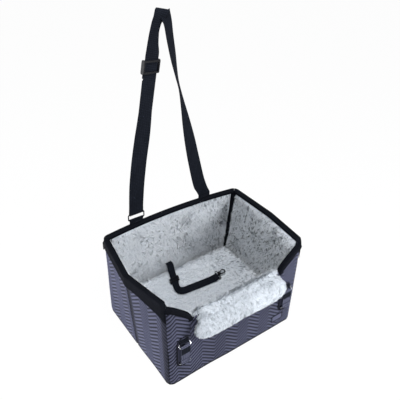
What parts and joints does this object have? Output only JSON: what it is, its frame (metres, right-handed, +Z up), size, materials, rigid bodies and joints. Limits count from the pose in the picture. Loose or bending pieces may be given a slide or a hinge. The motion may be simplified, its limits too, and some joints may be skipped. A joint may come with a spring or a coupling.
{
  "type": "dog car seat",
  "caption": "Soft-sided dog car booster seat: quilted box, faux-fur lining, fold-over front flap, rear strap loop with slider, belt keepers and a clip tether.",
  "frame": {"origin": "centre of the base, on the surface that the seat stands on", "axes": "+Z up, -Y towards the scooped front with the fold-over flap, +X to the seat's right-hand side seen from the front"},
  "size_m": [0.475, 0.3593, 0.8234],
  "materials": {
    "quilted_fabric": "matt, pressed chevron quilting",
    "woven_binding": "matt woven tape",
    "webbing": "matt woven webbing",
    "stiffener_board": "rough board",
    "foam": "open-cell foam",
    "faux_fur": "short plush pile",
    "dark_metal": "dark nickel plate",
    "woven_label": "blank woven tape"
  },
  "bodies": {
    "seat": {"front_cover": "quilted_fabric", "back_cover": "quilted_fabric", "left_cover": "quilted_fabric", "right_cover": "quilted_fabric", "base_cover": "quilted_fabric", "base_board": "stiffener_board", "front_board": "stiffener_board", "back_board": "stiffener_board", "left_front_board": "stiffener_board", "left_rear_board": "stiffener_board", "right_front_board": "stiffener_board", "right_rear_board": "stiffener_board", "booster_foam": "foam", "front_liner": "faux_fur", "back_liner": "faux_fur", "left_liner": "faux_fur", "right_liner": "faux_fur", "floor_cushion": "faux_fur", "front_fold": "faux_fur", "left_binding": "woven_binding", "right_binding": "woven_binding", "back_binding": "woven_binding", "scoop_binding_left": "woven_binding", "scoop_binding_right": "woven_binding", "corner_piping_left": "woven_binding", "corner_piping_right": "woven_binding", "zip_chain_left": "woven_binding", "zip_chain_right": "woven_binding", "corner_gusset_left": "woven_binding", "corner_gusset_right": "woven_binding", "keeper_patch_left": "webbing", "keeper_patch_right": "webbing", "keeper_webbing_left": "webbing", "keeper_webbing_right": "webbing", "strap_tab": "webbing", "strap_end": "webbing", "tether_anchor": "webbing", "keeper_ring_upper_left": "dark_metal", "keeper_ring_upper_right": "dark_metal", "keeper_ring_lower_left": "dark_metal", "keeper_ring_lower_right": "dark_metal", "label": "woven_label"},
    "flap": {"front_flap": "faux_fur", "flap_backing": "quilted_fabric"},
    "strap": {"strap_ring": "dark_metal", "strap_webbing": "webbing", "strap_return": "webbing"},
    "strap_slider": {"strap_slider": "dark_metal", "slider_fold": "webbing"},
    "zip_slider_left": {"zip_slider_left": "dark_metal"},
    "zip_slider_right": {"zip_slider_right": "dark_metal"},
    "zip_pull_left": {"zip_pull_left": "dark_metal"},
    "zip_pull_right": {"zip_pull_right": "dark_metal"},
    "tether": {"tether_webbing": "webbing", "swivel": "dark_metal"},
    "tether_slider": {"tether_slider": "dark_metal", "tether_fold": "webbing"},
    "hook": {"snap_hook": "dark_metal"},
    "bolt": {"hook_bolt": "dark_metal"}
  },
  "joints": [
    {"name": "flap_hinge", "type": "hinge", "parent": "seat", "child": "flap", "pos_m": [0, -0.15669, 0.203], "axis": [-1, 0, 0], "range_deg": [0, 165], "deforming": ["front_fold"]},
    {"name": "strap_swing", "type": "hinge", "parent": "seat", "child": "strap", "pos_m": [0, 0.15097, 0.29092], "axis": [1, 0, 0], "range_deg": [-110, 90]},
    {"name": "strap_slide", "type": "slide", "parent": "strap", "child": "strap_slider", "axis": [0.1473, -0.0033, 0.9891], "range_m": [-0.07, 0], "deforming": ["strap_return"]},
    {"name": "tether_lift", "type": "hinge", "parent": "seat", "child": "tether", "pos_m": [-0.018, 0.134, 0.0925], "axis": [-1, 0, 0], "range_deg": [0, 75]},
    {"name": "tether_slide", "type": "slide", "parent": "tether", "child": "tether_slider", "axis": [-0.3535, -0.9354, 0], "range_m": [-0.012, 0]},
    {"name": "hook_swivel", "type": "hinge", "parent": "tether", "child": "hook", "pos_m": [0.0699, 0.01878, 0.0925], "axis": [0.9494, 0.3078, -0.0619], "continuous": true},
    {"name": "bolt_slide", "type": "slide", "parent": "hook", "child": "bolt", "axis": [-0.9494, -0.3078, 0.0619], "range_m": [0, 0.0038], "stiffness_N_per_m": 100, "springref_m": -0.003},
    {"name": "zip_slide_left", "type": "slide", "parent": "seat", "child": "zip_slider_left", "axis": [0.0375, 0.0441, -0.9983], "range_m": [0, 0.21]},
    {"name": "zip_pull_left", "type": "hinge", "parent": "zip_slider_left", "child": "zip_pull_left", "pos_m": [-0.21574, 0.14775, 0.25606], "axis": [0.75, 0.659, 0.0573], "range_deg": [0, 170]},
    {"name": "zip_slide_right", "type": "slide", "parent": "seat", "child": "zip_slider_right", "axis": [-0.0375, 0.0441, -0.9983], "range_m": [0, 0.21]},
    {"name": "zip_pull_right", "type": "hinge", "parent": "zip_slider_right", "child": "zip_pull_right", "pos_m": [0.21574, 0.14775, 0.25606], "axis": [0.75, -0.659, -0.0573], "range_deg": [0, 170]}
  ]
}
